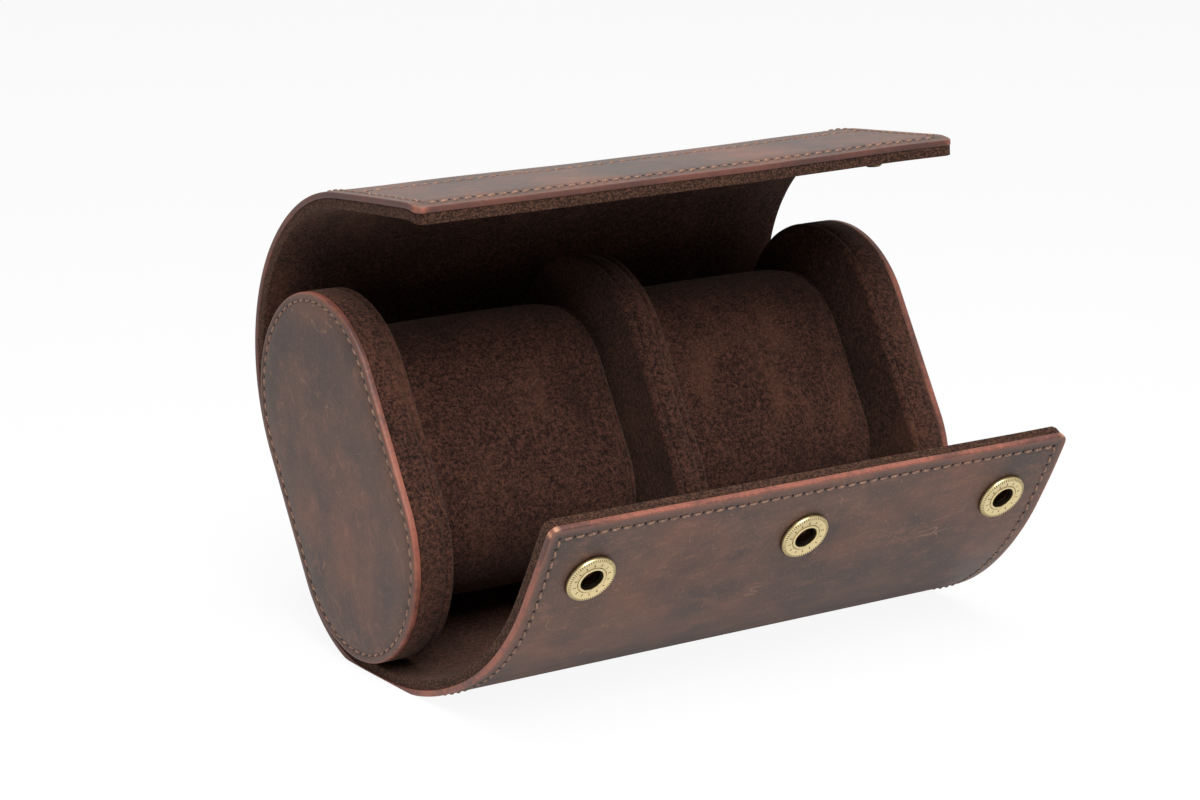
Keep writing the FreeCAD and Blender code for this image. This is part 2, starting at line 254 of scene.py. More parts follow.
# %% World, table and lamps
SKY_LEVEL = 0.12
TABLE_GLOW_SEEN = 0.92
TABLE_GLOW = 0.25
TABLE_SIZE = 6.0
TABLE_WHITE = (0.95, 0.95, 0.95, 1)

world = bpy.data.worlds.new("studio")
bpy.context.scene.world = world
world.use_nodes = True
sky = Nodes(world.node_tree)
seen = sky.add("ShaderNodeLightPath", output="Is Camera Ray")
mirrored = sky.add("ShaderNodeLightPath", output="Is Glossy Ray")
through = sky.add("ShaderNodeLightPath", output="Is Transmission Ray")
level = SKY_LEVEL + (seen + mirrored + through) * (1.0 - SKY_LEVEL)
white = sky.add("ShaderNodeBackground", inputs={"Color": (1, 1, 1, 1), "Strength": level})
sky.add("ShaderNodeOutputWorld", inputs={"Surface": white})

bpy.ops.object.select_all(action="DESELECT")
bpy.ops.mesh.primitive_plane_add(size=TABLE_SIZE)
table = bpy.context.object
table.name = "table"
table_finish, card = new_finish("white_card")
glow = card.add("ShaderNodeEmission", inputs={"Color": (1, 1, 1, 1), "Strength": 1.0})
matt = card.add("ShaderNodeBsdfDiffuse", inputs={"Color": TABLE_WHITE})
seen = card.add("ShaderNodeLightPath", output="Is Camera Ray")
share = TABLE_GLOW + seen * (TABLE_GLOW_SEEN - TABLE_GLOW)
both = card.add("ShaderNodeMixShader", inputs={0: share, 1: matt, 2: glow})
card.add("ShaderNodeOutputMaterial", inputs={"Surface": both})
table.data.materials.append(table_finish)


def soft_lamp(name, place, size, watts):
    """A square lamp at a place above the table that faces the middle of the case."""
    lamp = bpy.data.lights.new(name, "AREA")
    lamp.shape = "SQUARE"
    lamp.size = size
    lamp.energy = watts
    holder = bpy.data.objects.new(name, lamp)
    bpy.context.scene.collection.objects.link(holder)
    holder.location = place
    holder.rotation_mode = "QUATERNION"
    holder.rotation_quaternion = (MIDDLE - holder.location).to_track_quat("-Z", "Y")


soft_lamp("overhead", Vector((-0.1, -0.3, 1.0)), 0.7, 10.0)
soft_lamp("front", Vector((-0.4, -0.8, 0.9)), 0.5, 9.0)
print("lamps in W:", [light.energy for light in bpy.data.lights])

# %% [markdown]
# ## Waxed leather
#
# Waxed leather is dark and clouded: the wax pulls apart where the hide is bent or rubbed, and leaves rusty
# clouds, drawn-out streaks and thin pale scratches. Its cut edge is burnished to a red tan.
# Every leather piece carries three attributes that its finish reads: `place`, its spot on the bench in
# millimetres, so that the clouds stay on the hide when it bends, `rim`, its distance from the cut edge, and
# `worn`, how bright hands have rubbed that edge.

# %% Waxed leather
SEAM_MARGIN = 3.1

leather, hide = new_finish("waxed_leather")
place = hide.attribute("place", "Vector")
rim = hide.attribute("rim", "Fac")
worn = hide.attribute("worn", "Fac")
clouds = hide.noise(place, 0.045, 5.0, 0.6)
rust = hide.noise(hide.shift(place, (37.0, 11.0, 5.0)), 0.028, 4.0, 0.55)
streaks = hide.noise(hide.stretch(place, (0.14, 1.0, 1.0)), 0.35, 4.0, 0.6)
mottle = hide.noise(hide.stretch(place, (0.5, 1.0, 1.0)), 0.24, 6.0, 0.72)
speckle = hide.noise(place, 1.2, 3.0, 0.65)
pores = hide.noise(place, 4.5, 2.0, 0.5)
specks = hide.fade(hide.noise(hide.shift(place, (5.0, 2.0, 8.0)), 1.9, 1.0), 0.68, 0.76)
scratch_place = hide.stretch(hide.shift(place, (9.0, 70.0, 3.0)), (0.5, 1.0, 0.35))
scratch_field = hide.noise(scratch_place, 0.12, 2.0, 0.4)
scratches = 1 - hide.fade(abs(scratch_field - 0.5), 0.001, 0.005)
scratches = scratches * hide.fade(hide.noise(place, 0.09, 2.0), 0.55, 0.65)
cut_edge = 1 - hide.fade(rim + (speckle - 0.5) * 0.4, 0.2, 0.6)
rubbed = 1 - hide.fade(rim + (clouds - 0.5) * 2.0, 0.3, 2.0)
# Darker along the seam's line: painted shade in its groove, which the bump below also sinks
groove = 1 - hide.fade(abs(rim - SEAM_MARGIN), 0.2, 0.9)

patches = hide.fade(clouds * 0.7 + speckle * 0.3, 0.36, 0.62)
edge_colour = hide.coats(
    paint(66, 38, 32),
    (paint(146, 84, 66), hide.fade((0.2 + patches * 0.8) * worn, 0.0, 1.0)),
    (paint(204, 148, 114), hide.fade(worn, 1.1, 1.9)),
)
colour = hide.coats(
    paint(56, 39, 32),
    (paint(88, 61, 49), hide.fade(clouds, 0.34, 0.66)),
    (paint(114, 69, 50), hide.fade(rust, 0.46, 0.68) * 0.55),
    (paint(60, 43, 37), hide.fade(streaks, 0.48, 0.75) * 0.45),
    (paint(128, 84, 64), hide.fade(mottle, 0.5, 0.72) * 0.45),
    (paint(52, 37, 32), hide.fade(mottle, 0.5, 0.28) * 0.4),
    (paint(134, 98, 80), hide.fade(speckle, 0.54, 0.76) * 0.35),
    (paint(56, 40, 34), hide.fade(pores, 0.54, 0.7) * 0.3),
    (paint(156, 116, 90), scratches * 0.5 + specks * 0.45),
    (paint(128, 80, 63), rubbed * (0.1 + worn * 0.4)),
    # painted shade in the seam's groove
    (paint(42, 29, 24), groove * 0.45),
    (edge_colour, cut_edge),
)
height = speckle * 0.5 + pores * 0.4 + streaks * 0.35 - groove * 0.9 - scratches * 0.2
hide.surface(
    Base_Color=colour,
    Roughness=0.44 + clouds * 0.16 + speckle * 0.08 - cut_edge * 0.04,
    Specular_IOR_Level=0.34,
    Coat_Weight=0.16,
    Coat_Roughness=0.38,
    Normal=hide.bump(height, 0.35, 0.0003),
)

# %% [markdown]
# ## Suede
#
# Suede is the flesh side of the hide, brushed up into a short nap. It has no gloss. Its colour is a fine salt
# and pepper of lit and shaded fibres, with broad patches where a finger has stroked the nap. Along a raw
# edge the fibres stand out, a little paler.

# %% Suede
suede, nap = new_finish("brushed_suede")
place = nap.attribute("place", "Vector")
rim = nap.attribute("rim", "Fac")
fibres = nap.noise(place, 1.9, 3.0, 0.65)
tufts = nap.noise(place, 0.9, 3.0, 0.6)
strokes = nap.noise(nap.stretch(place, (1.0, 0.5, 0.5)), 0.07, 4.0, 0.55)
fray = 1 - nap.fade(rim + (fibres - 0.5) * 1.2, 0.3, 1.0)
salt = nap.fade(fibres * 0.6 + tufts * 0.4, 0.38, 0.66)
raw = nap.mix(paint(36, 23, 18), paint(92, 64, 50), nap.fade(fibres, 0.4, 0.68))
colour = nap.coats(
    paint(26, 15, 12),
    (paint(86, 55, 44), salt),
    (paint(104, 68, 54), nap.fade(strokes, 0.5, 0.72) * 0.3),
    (paint(24, 14, 11), nap.fade(strokes, 0.48, 0.3) * 0.45),
    (raw, fray * 0.8),
)
nap.surface(
    Base_Color=colour,
    Roughness=0.95,
    Specular_IOR_Level=0.12,
    Sheen_Weight=0.12,
    Sheen_Roughness=0.5,
    Sheen_Tint=(0.55, 0.4, 0.32, 1.0),
    Normal=nap.bump(fibres * 0.7 + tufts * 0.6, 0.6, 0.0005),
)

# %% [markdown]
# ## Thread, needle holes and metal
#
# The thread is waxed and tan-brown, and goes down into slits that are dark with painted shade. The snaps are
# brass that was darkened and rubbed bright again, so the recesses stay dark, and the hole and the underside
# get painted shade, near
# black: `recess` says how deep a spot lies.

# %% Thread, and the painted shade of its needle holes
thread, twist = new_finish("waxed_thread")
place = twist.attribute("place", "Vector")
strands = twist.noise(place, 2.6, 2.0)
twist.surface(
    Base_Color=twist.mix(paint(94, 68, 55), paint(154, 118, 96), twist.fade(strands, 0.35, 0.68)),
    Roughness=0.6,
    Normal=twist.bump(strands, 0.4, 0.0002),
)

# A needle hole has no colour of its own: this dark finish is painted shade for the hole
needle_hole_shade, dark = new_finish("needle_hole_shade")
place = dark.attribute("place", "Vector")
dark.surface(
    Base_Color=dark.mix(paint(34, 23, 19), paint(54, 37, 30), dark.noise(place, 3.0)),
    Roughness=0.9,
    Specular_IOR_Level=0.1,
)

# %% Brass and spring steel
# Number of ticks in a ring, its radius, half the ticks' length, and how narrow they are
TICK_RINGS = ((64.0, 5.75, 0.3, 0.1), (14.0, 4.45, 0.32, 0.72))


def metal_finish(name, bright, dull, turned):
    """Rubbed metal: bright where it is handled, dull in its recesses, its ticks and in small spots, and
    painted near black as shade where it lies deepest.
    """
    material, metal = new_finish(name)
    if turned:
        place = metal.attribute("place", "Vector")
        x, y = (metal.add("ShaderNodeSeparateXYZ", inputs={0: place}, output=axis) for axis in "XY")
        angle = metal.add("ShaderNodeMath", {"operation": "ARCTAN2"}, {0: y, 1: x})
        flat_place = metal.stretch(place, (1, 1, 0))
        radius = metal.add("ShaderNodeVectorMath", {"operation": "LENGTH"}, {0: flat_place}, 1)
        ticks = 0.0
        for count, middle, half, level in TICK_RINGS:
            wave = metal.add("ShaderNodeMath", {"operation": "SINE"}, {0: angle * count})
            in_tick = metal.fade(wave, level, level + 0.3)
            off_ring = metal.fade(abs(radius - middle), half, half + 0.1)
            ticks = ticks + in_tick * (1 - off_ring)
        recess = metal.attribute("recess", "Fac")
    else:
        place = metal.node_place()
        recess = metal.noise(place, 0.3) - 0.2
        ticks = recess * 0.0
    spots = metal.noise(place, 1.1, 4.0, 0.6)
    brushing = metal.noise(place, 7.0, 2.0)
    age = metal.fade(recess + ticks * 0.7 + (spots - 0.5) * 0.9, 0.25, 0.85)
    # The deepest recesses, the hole and the underside, are painted near black: painted shade
    metal.surface(
        Base_Color=metal.coats(bright, (dull, age), (paint(26, 20, 14), metal.fade(recess, 0.9, 1.0))),
        Metallic=1.0,
        Roughness=0.27 + age * 0.28 + brushing * 0.1,
        Normal=metal.bump(spots * 0.3 + brushing * 0.2 - ticks, 0.3, 0.00015),
    )
    return material


brass = metal_finish("rubbed_brass", paint(206, 188, 142), paint(84, 68, 40), True)
# A darker copy of the brass for the studs under the top flap and the posts inside the sockets: painted shade,
# as they sit in shadow
shaded_stud_brass = metal_finish("shaded_stud_brass", paint(96, 80, 52), paint(44, 35, 22), False)
spring_steel = metal_finish("spring_steel", paint(196, 192, 184), paint(110, 106, 98), False)

# %% [markdown]
# ## Card board
#
# The walls are stiffened with grey-brown board and the top flap with a strip of the same. Both are covered,
# but they are part of the object, so they get a fibrous finish of their own.

# %% Board
board, pulp = new_finish("pulp_board")
fibre = pulp.noise(pulp.stretch(pulp.node_place(), (1.0, 0.3, 1.0)), 1.2, 4.0, 0.6)
pulp.surface(
    Base_Color=pulp.mix(paint(104, 88, 70), paint(150, 132, 108), fibre),
    Roughness=0.9,
    Normal=pulp.bump(fibre, 0.4, 0.0003),
)


def refinish(node, material):
    """Give a CAD node that stays in view a finish of its own."""
    materials = frame["nodes"][node].data.materials
    for index in range(len(materials)):
        materials[index] = material


for name in ("left_end_board", "right_end_board", "divider_board", "stud_strip"):
    refinish(name, board)
# The studs and the posts get the darker brass: painted shade
for name in ("snap_studs", "socket_posts"):
    refinish(name, shaded_stud_brass)
refinish("socket_springs", spring_steel)

# %% [markdown]
# ## Working by hand in edit mode
#
# Every operator works on what is selected, so each step first says what it takes hold of. These few helpers
# name a new primitive, select by place, apply a modifier, copy and join, and lean a finished piece into the
# frame.

# %% Modelling helpers
def let_go():
    bpy.ops.object.select_all(action="DESELECT")


def hold(piece):
    let_go()
    piece.select_set(True)
    bpy.context.view_layer.objects.active = piece


def take_up(name):
    """Name the primitive that was just added and open it in edit mode."""
    piece = bpy.context.object
    piece.name = name
    piece.data.name = name
    bpy.ops.object.mode_set(mode="EDIT")
    return piece


def reopen(piece):
    hold(piece)
    bpy.ops.object.mode_set(mode="EDIT")


def put_down():
    bpy.ops.object.mode_set(mode="OBJECT")


def take_all():
    bpy.ops.mesh.select_all(action="SELECT")


def pick(piece, wanted):
    """Select the corners whose place passes a test, with the edges and faces between them."""
    bpy.ops.mesh.select_all(action="DESELECT")
    mesh = bmesh.from_edit_mesh(piece.data)
    for corner in mesh.verts:
        corner.select_set(bool(wanted(corner.co)))
    mesh.select_flush(True)
    bmesh.update_edit_mesh(piece.data)


def use(piece, kind, **settings):
    """Add a modifier, set it and apply it."""
    modifier = piece.modifiers.new(kind.lower(), kind)
    for name, setting in settings.items():
        setattr(modifier, name, setting)
    hold(piece)
    bpy.ops.object.modifier_apply(modifier=modifier.name)


def corners_of(piece):
    """The places of a mesh's corners as rows of X, Y, Z."""
    rows = np.zeros(len(piece.data.vertices) * 3)
    piece.data.vertices.foreach_get("co", rows)
    return rows.reshape(-1, 3)


def move_corners(piece, rows):
    piece.data.vertices.foreach_set("co", rows.ravel())
    piece.data.update()


def note_number(piece, name, numbers):
    attribute = piece.data.attributes.new(name, "FLOAT", "POINT")
    attribute.data.foreach_set("value", np.asarray(numbers, dtype=np.float32))


def note_place(piece):
    attribute = piece.data.attributes.new("place", "FLOAT_VECTOR", "POINT")
    attribute.data.foreach_set("vector", corners_of(piece).astype(np.float32).ravel())


# %% Placing, copying and joining
def settle(piece, matrix=None):
    """Put a piece where a matrix says and write that place into its mesh."""
    if matrix is not None:
        piece.matrix_world = matrix
    hold(piece)
    bpy.ops.object.transform_apply(location=True, rotation=True, scale=True)


def lean_in(piece):
    """Put a piece from the bench into the frame."""
    settle(piece, TO_FRAME)


def copy_of(piece):
    copy = piece.copy()
    copy.data = piece.data.copy()
    bpy.context.scene.collection.objects.link(copy)
    return copy


def join_up(pieces, name):
    """Join pieces into the first of them and name it."""
    let_go()
    for piece in pieces:
        piece.select_set(True)
    whole = pieces[0]
    bpy.context.view_layer.objects.active = whole
    bpy.ops.object.join()
    whole.name = name
    whole.data.name = name
    return whole


def dress(piece, material, angle=40.0):
    piece.data.materials.clear()
    piece.data.materials.append(material)
    hold(piece)
    bpy.ops.object.shade_smooth_by_angle(angle=math.radians(angle))


# %% [markdown]
# ## The line of the wrap
#
# Seen from the end, the wrap is a line of straights and arcs. It starts at the middle of the back. One branch
# goes up and over to the tip of the top flap, the other goes down, round the foot and up to the tip of the
# front flap. A branch answers one question: where is a spot that lies so far along the leather's outer face
# and so deep below it?

# %% The two branches of the wrap
WALL_RADIUS = 28.75
WALL_STRAIGHT = 16.75
LEATHER = 2.0
LINING = 2.0
BACK = WALL_RADIUS + LEATHER + LINING
HALF_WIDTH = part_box("spine_leather")[1].x / MM
TIP_TAPER = 3.6
TRACK_STEP = 0.2


class Branch:
    """Half of the wrap's line, as (radius, amount) runs: degrees for an arc, millimetres for a straight."""

    def __init__(self, heading, side, runs, taper_from=None):
        self.heading = math.radians(heading)
        self.side = side
        self.runs = runs
        self.length = sum(self.run_length(run) for run in runs)
        self.taper_from = taper_from
        self.marks = np.linspace(0.0, self.length, int(self.length / TRACK_STEP))
        self.track = np.array([self.spot(mark, LEATHER) for mark in self.marks])

    @staticmethod
    def run_length(run):
        radius, amount = run
        return amount if radius is None else radius * math.radians(amount)

    def axes(self, distance):
        """Outer spot, direction of travel and direction inwards at a distance."""
        y, z, heading, left = BACK, 0.0, self.heading, distance
        for run in self.runs:
            radius = run[0]
            step = min(left, self.run_length(run))
            turn = 0.0 if radius is None else self.side * step / radius
            chord = step if radius is None else 2 * radius * math.sin(step / radius / 2)
            y += chord * math.cos(heading + turn / 2)
            z += chord * math.sin(heading + turn / 2)
            heading += turn
            left -= step
            if left <= 0:
                break
        along = Vector((0, math.cos(heading), math.sin(heading)))
        inward = Vector((0, -self.side * math.sin(heading), self.side * math.cos(heading)))
        return Vector((0, y, z)), along, inward

    def spot(self, distance, depth):
        outer, along, inward = self.axes(distance)
        return outer + inward * depth

    def half_width(self, distance):
        """Half the wrap's width: the front flap narrows towards its tip."""
        if self.taper_from is None or distance < self.taper_from:
            return HALF_WIDTH
        first = self.axes(self.taper_from)[0].y
        last = self.axes(self.length)[0].y
        return HALF_WIDTH - TIP_TAPER * (first - self.axes(distance)[0].y) / (first - last)

    def distances(self, rows):
        """How far along the branch each bench spot lies."""
        gaps = (rows[:, 1:2] - self.track[:, 1]) ** 2 + (rows[:, 2:3] - self.track[:, 2]) ** 2
        return self.marks[np.argmin(gaps, axis=1)]


CROWN_RADIUS = 47.0
CROWN_TURN = 115.5
TOP_STRAIGHT = 39.0
FOOT_TURN = 58.4
FOOT_STRAIGHT = 10.0
FRONT_RADIUS = 66.0
FRONT_TURN = 63.0
FRONT_STRAIGHT = 22.0

TOP = Branch(90.0, 1, ((None, WALL_STRAIGHT), (CROWN_RADIUS, CROWN_TURN), (None, TOP_STRAIGHT)))
front_runs = (
    (None, WALL_STRAIGHT), (BACK, FOOT_TURN), (None, FOOT_STRAIGHT),
    (FRONT_RADIUS, FRONT_TURN), (None, FRONT_STRAIGHT),
)
FRONT = Branch(270.0, -1, front_runs, taper_from=WALL_STRAIGHT + BACK * math.radians(FOOT_TURN))
print("branches in mm:", round(TOP.length, 1), round(FRONT.length, 1))

# %% [markdown]
# ## Where the wrap bends
#
# Leather bends over a length, not at a line. Each strip of the wrap therefore spans one joint, from the
# middle of one stiff body to the middle of the next. Neighbouring strips meet where both are stiff.

# %% Strips of the wrap
def crease_on(branch, joint):
    """How far along a branch a joint's axis lies."""
    spot = TO_BENCH @ Vector(JOINTS[joint]["pos_m"])
    return float(branch.distances(np.array([spot]))[0])


CREASES = {joint: crease_on(TOP, joint) for joint in ("top_fold", "crown_bend", "top_tip_bend")}
for joint in ("front_fold", "front_tip_bend"):
    CREASES[joint] = crease_on(FRONT, joint)
rear_meet = (CREASES["top_fold"] + CREASES["crown_bend"]) / 2
crown_meet = (CREASES["crown_bend"] + CREASES["top_tip_bend"]) / 2
front_meet = (CREASES["front_fold"] + CREASES["front_tip_bend"]) / 2
# Name, branch, from, to, joint, and how far the bend reaches before and after the joint
STRIPS = (
    ("back", TOP, 0.0, rear_meet, "top_fold", 16.0, 16.0),
    ("crown", TOP, rear_meet, crown_meet, "crown_bend", 17.0, 17.0),
    ("top", TOP, crown_meet, TOP.length, "top_tip_bend", 16.0, 16.0),
    ("foot", FRONT, 0.0, front_meet, "front_fold", 4.0, 14.0),
    ("front", FRONT, front_meet, FRONT.length, "front_tip_bend", 14.0, 18.0),
)
print("creases in mm:", {name: round(mark, 1) for name, mark in CREASES.items()})


def bend_with_wrap(piece, strip):
    """Write a finished piece's place into its mesh; the ends of its strip's bend are worked out but not used.
    """
    branch = strip[1]
    joint, before, after = strip[4:]
    crease = CREASES[joint]
    start = TO_FRAME @ branch.spot(crease - before, LEATHER)
    end = TO_FRAME @ branch.spot(crease + after, LEATHER)
    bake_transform(piece)


# %% [markdown]
# ## A hand's unevenness
#
# A hide is never quite flat. One soft cloud pattern pushes every piece of the wrap by a fraction of a
# millimetre. Leather, lining and stitches all read the same pattern at their own place, so they stay
# together. It grows from nothing on the stiff back and foot to its full amount on the free flaps.
# A few slow changes come on top, as in any case that is opened every day: the top flap's edge rolls in, its
# right end stands a little higher than its left, the front flap keeps a little further from the walls, and
# its right side is cut slightly hollow.

# %% Unevenness of the free flaps
UNEVEN = 0.6
UNEVEN_SIZE = 42.0
EDGE_ROLL = 1.0
ROLL_LENGTH = 6.0
RIGHT_END_RISE = 0.6
FRONT_RELIEF = 0.3
SIDE_HOLLOW = 1.8
HOLLOW_MIDDLE = 108.0
HOLLOW_LENGTH = 40.0
FRONT_RELIEF_RANGE = (85.0, 110.0)
# Distances along each branch between which it goes from held to free
TOP_FREE = (35.0, 110.0)
FRONT_FREE = (80.0, 125.0)
uneven_clouds = bpy.data.textures.new("uneven", "CLOUDS")
uneven_clouds.noise_scale = UNEVEN_SIZE
uneven_clouds.noise_depth = 1
uneven_clouds.cloud_type = "COLOR"


def smooth_step(values, low, high):
    share = np.clip((values - low) / (high - low), 0.0, 1.0)
    return share * share * (3 - 2 * share)


def slow_changes(branch, distances, shares):
    """How far inwards and how far along X each spot moves. Shares run from -1 at the left end to 1."""
    right = smooth_step(shares, 0.0, 1.0)
    if branch is TOP:
        roll = EDGE_ROLL * smooth_step(distances, branch.length - ROLL_LENGTH, branch.length)
        rise = RIGHT_END_RISE * right * smooth_step(distances, TOP_FREE[0], branch.length)
        return roll - rise, 0.0 * right
    near = 1.0 - smooth_step(np.abs(distances - HOLLOW_MIDDLE), 0.0, HOLLOW_LENGTH)
    return -FRONT_RELIEF * smooth_step(distances, *FRONT_RELIEF_RANGE), -SIDE_HOLLOW * near * right


def make_uneven(piece, branch):
    rows = corners_of(piece)
    distances = branch.distances(rows)
    inward = np.array([branch.axes(distance)[2] for distance in distances])
    into, sideways = slow_changes(branch, distances, rows[:, 0] / HALF_WIDTH)
    rows = rows + inward * into[:, None]
    rows[:, 0] += sideways
    move_corners(piece, rows)
    free = smooth_step(distances, *(TOP_FREE if branch is TOP else FRONT_FREE))
    group = piece.vertex_groups.new(name="free")
    for index, share in enumerate(free):
        group.add([index], float(share), "REPLACE")
    use(
        piece, "DISPLACE", texture=uneven_clouds, texture_coords="LOCAL", direction="RGB_TO_XYZ",
        strength=UNEVEN, mid_level=0.5, vertex_group="free",
    )
    piece.vertex_groups.clear()


# %% [markdown]
# ## Cutting the wrap
#
# A strip starts as one edge as wide as the hide. The edge is extruded along the branch in small steps,
# narrowing where the front flap does, like drawing a sheet out of a slot. Extra columns near the sides hold
# the rounded corners. Solidify then gives the hide its thickness, and its cut edges are rounded. The ends
# where two strips meet stay square.

# %% Drawing a sheet
ROW_STEP = 1.7
COLUMNS = 34
MEETING_ROW = 0.3
EDGE_STEPS = (0.3, 0.8, 1.5, 2.3, 3.2, 4.6)
TIP_ROOM = 0.5
CORNER_ROUND = 2.5
TIP_MARKS = 200


def row_marks(begin, finish, has_tip):
    """Distances of a sheet's rows, closer together at its ends."""
    count = round((finish - begin) / ROW_STEP)
    even = list(np.linspace(begin, finish, count + 1))
    marks = [begin, begin + MEETING_ROW, *even[1:]]
    if has_tip:
        marks = [mark for mark in marks if mark < finish - EDGE_STEPS[-1] - TIP_ROOM]
        return marks + [finish - step for step in reversed(EDGE_STEPS)] + [finish]
    return marks[:-1] + [finish - MEETING_ROW, finish]


def draw_sheet(name, branch, marks, depth, trim):
    """Extrude one edge of the hide along its branch, row by row."""
    spots = [branch.spot(mark, depth) for mark in marks]
    widths = [branch.half_width(mark) - trim for mark in marks]
    let_go()
    bpy.ops.mesh.primitive_grid_add(x_subdivisions=COLUMNS, y_subdivisions=1, size=1)
    piece = take_up(name)
    pick(piece, lambda spot: spot.y > 0)
    bpy.ops.mesh.delete(type="VERT")
    take_all()
    bpy.ops.transform.resize(value=(2 * widths[0], 1, 1), center_override=(0, 0, 0))
    bpy.ops.transform.translate(value=spots[0] + Vector((0, 0.5, 0)))
    for index in range(1, len(marks)):
        step = spots[index] - spots[index - 1]
        bpy.ops.mesh.extrude_region_move(TRANSFORM_OT_translate={"value": step})
        if index == 1:
            for edge in EDGE_STEPS:
                for side in (-1, 1):
                    cut = (side * (widths[0] - edge), 0, 0)
                    take_all()
                    bpy.ops.mesh.bisect(plane_co=cut, plane_no=(1, 0, 0))
            pick(piece, lambda spot: (spot.yz - spots[1].yz).length < MEETING_ROW / 10)
        narrowing = widths[index] / widths[index - 1]
        if narrowing < 1:
            bpy.ops.transform.resize(value=(narrowing, 1, 1), center_override=(0, 0, 0))
    put_down()
    return piece


def round_tip(piece, branch, depth, trim):
    """Turn the two square corners at a tip into quarter circles."""
    rows = corners_of(piece)
    marks = np.linspace(branch.length - 2 * CORNER_ROUND, branch.length, TIP_MARKS)
    track = np.array([branch.spot(mark, depth) for mark in marks])
    for row in rows:
        nearest = np.argmin((track[:, 1] - row[1]) ** 2 + (track[:, 2] - row[2]) ** 2)
        half = branch.half_width(marks[nearest]) - trim
        from_side = CORNER_ROUND - (half - abs(row[0]))
        from_tip = CORNER_ROUND - (branch.length - marks[nearest])
        if from_side > 0 and from_tip > 0:
            shrink = max(from_side, from_tip) / math.hypot(from_side, from_tip)
            row[0] = math.copysign(half - CORNER_ROUND + from_side * shrink, row[0])
            row[1:] = branch.spot(branch.length - CORNER_ROUND + from_tip * shrink, depth)[1:]
    move_corners(piece, rows)


# %% Thickness and rounded edges
FREE_EDGE_ANGLE = math.radians(50)
MEETING_REACH = 10.0


def thicken(piece, branch, begin, finish, has_tip, thickness, edge_round):
    """Give a sheet its thickness inwards and round its free edges."""
    inward = branch.axes(begin)[2]
    if piece.data.polygons[0].normal.dot(inward) > 0:
        reopen(piece)
        take_all()
        bpy.ops.mesh.flip_normals()
        put_down()
    use(piece, "SOLIDIFY", thickness=thickness, offset=-1.0, use_even_offset=True)
    meetings = [branch.axes(mark)[:2] for mark in ([begin] if has_tip else [begin, finish])]

    def at_meeting(corner):
        steps = [(corner.co - spot, way) for spot, way in meetings]
        return any(
            abs(step.dot(way)) < MEETING_ROW / 3 and step.yz.length < MEETING_REACH for step, way in steps
        )

    reopen(piece)
    bpy.ops.mesh.select_all(action="DESELECT")
    bpy.ops.mesh.select_mode(type="EDGE")
    mesh = bmesh.from_edit_mesh(piece.data)
    for edge in mesh.edges:
        free = len(edge.link_faces) == 2 and edge.calc_face_angle() > FREE_EDGE_ANGLE
        edge.select_set(free and not all(at_meeting(corner) for corner in edge.verts))
    bmesh.update_edit_mesh(piece.data)
    bpy.ops.mesh.bevel(offset=edge_round, segments=3, affect="EDGES", clamp_overlap=True)
    bpy.ops.mesh.select_mode(type="VERT")
    put_down()


# %% Holes, rims and the flat foot
SNAP_PLACES = (-59.0, 0.0, 59.0)
SOCKET_FROM_EDGE = 16.5
HOLE_RADIUS = 2.9
DRILL_DEPTH = 16.0
CORNER_WEAR = 0.8
CORNER_WEAR_RANGE = (0.8, 3.6)


def socket_place(x):
    """Where a socket stands on the front flap: its Z points out of the leather."""
    mark = FRONT.length - SOCKET_FROM_EDGE
    along, inward = FRONT.axes(mark)[1:]
    stand = Matrix((along, along.cross(inward), -inward)).transposed().to_4x4()
    return Matrix.Translation(FRONT.spot(mark, 0.0) + Vector((x, 0, 0))) @ stand


def bore_holes(piece):
    """Drill the sockets' holes through the leather of the front flap."""
    for x in SNAP_PLACES:
        let_go()
        bpy.ops.mesh.primitive_cylinder_add(vertices=32, radius=HOLE_RADIUS, depth=DRILL_DEPTH)
        drill = bpy.context.object
        drill.matrix_world = socket_place(x)
        bpy.context.view_layer.update()
        use(piece, "BOOLEAN", operation="DIFFERENCE", solver="EXACT", object=drill)
        bpy.data.objects.remove(drill)


def note_rim(piece, branch, trim, worn):
    """Tell a sheet's finish how far each corner lies from the free edges."""
    rows = corners_of(piece)
    distances = branch.distances(rows)
    halves = np.array([branch.half_width(mark) for mark in distances])
    from_side = halves - trim - np.abs(rows[:, 0])
    from_tip = branch.length - trim - distances
    note_number(piece, "rim", np.clip(np.minimum(from_side, from_tip), 0.0, None))
    from_corner = np.hypot(np.maximum(from_side, 0.0), np.maximum(from_tip, 0.0))
    note_number(piece, "worn", worn + CORNER_WEAR * (1.0 - smooth_step(from_corner, *CORNER_WEAR_RANGE)))


def stand_flat(piece):
    """Press what lies below the table's top up to it, as the foot of the case is."""
    reopen(piece)
    pick(piece, lambda spot: spot.z < 0)
    bpy.ops.transform.resize(value=(1, 1, 0), center_override=(0, 0, 0))
    put_down()


# %% Leather and lining of every strip
HIDE = 1.5
HIDE_ROUND = 0.5
LINING_TRIM = 0.25
LINING_ROUND = 0.8
EDGE_WEAR = {"back": 0.35, "crown": 0.4, "top": 0.35, "foot": 0.7, "front": 0.95}


